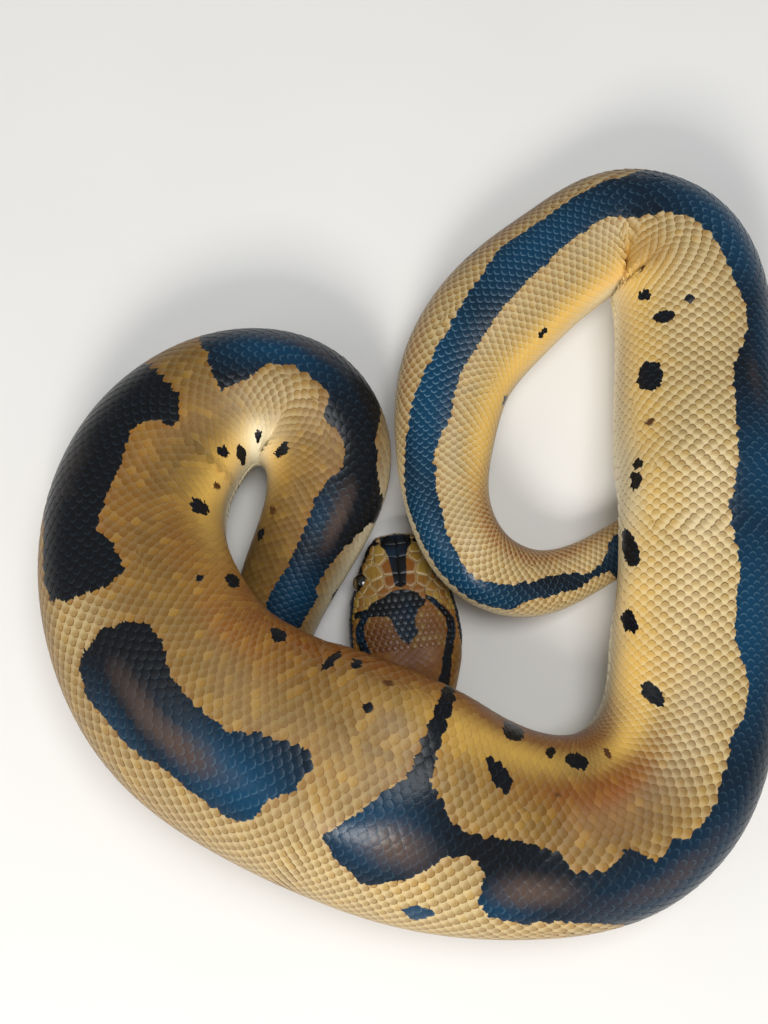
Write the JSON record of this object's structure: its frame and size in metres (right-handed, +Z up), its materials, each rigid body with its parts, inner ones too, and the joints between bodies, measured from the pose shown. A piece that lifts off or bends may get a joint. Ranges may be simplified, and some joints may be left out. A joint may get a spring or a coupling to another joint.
{
  "type": "coiled ball python",
  "caption": "Ball python at rest: broad flat head between two loops of a thick patterned body, belly on the floor, tapering to a short tail.",
  "frame": {"origin": "middle of the snake's outline seen from above, on the floor it lies on", "axes": "+Z up; +Y the way the snout points, away from the viewer; +X to the viewer's right, towards the straight length of the trunk"},
  "size_m": [0.2306, 0.2143, 0.0591],
  "materials": {
    "body_skin": "satin",
    "head_skin": "satin",
    "jaw_skin": "satin",
    "eye": "glossy"
  },
  "bodies": {
    "root": {"head": "head_skin", "lower_jaw": "jaw_skin", "eye_left": "eye", "eye_right": "eye", "neck": "body_skin", "trunk_1": "body_skin", "trunk_2": "body_skin", "trunk_3": "body_skin", "trunk_4": "body_skin", "trunk_5": "body_skin", "trunk_6": "body_skin", "trunk_7": "body_skin", "trunk_8": "body_skin", "trunk_9": "body_skin", "tail": "body_skin"}
  },
  "joints": []
}
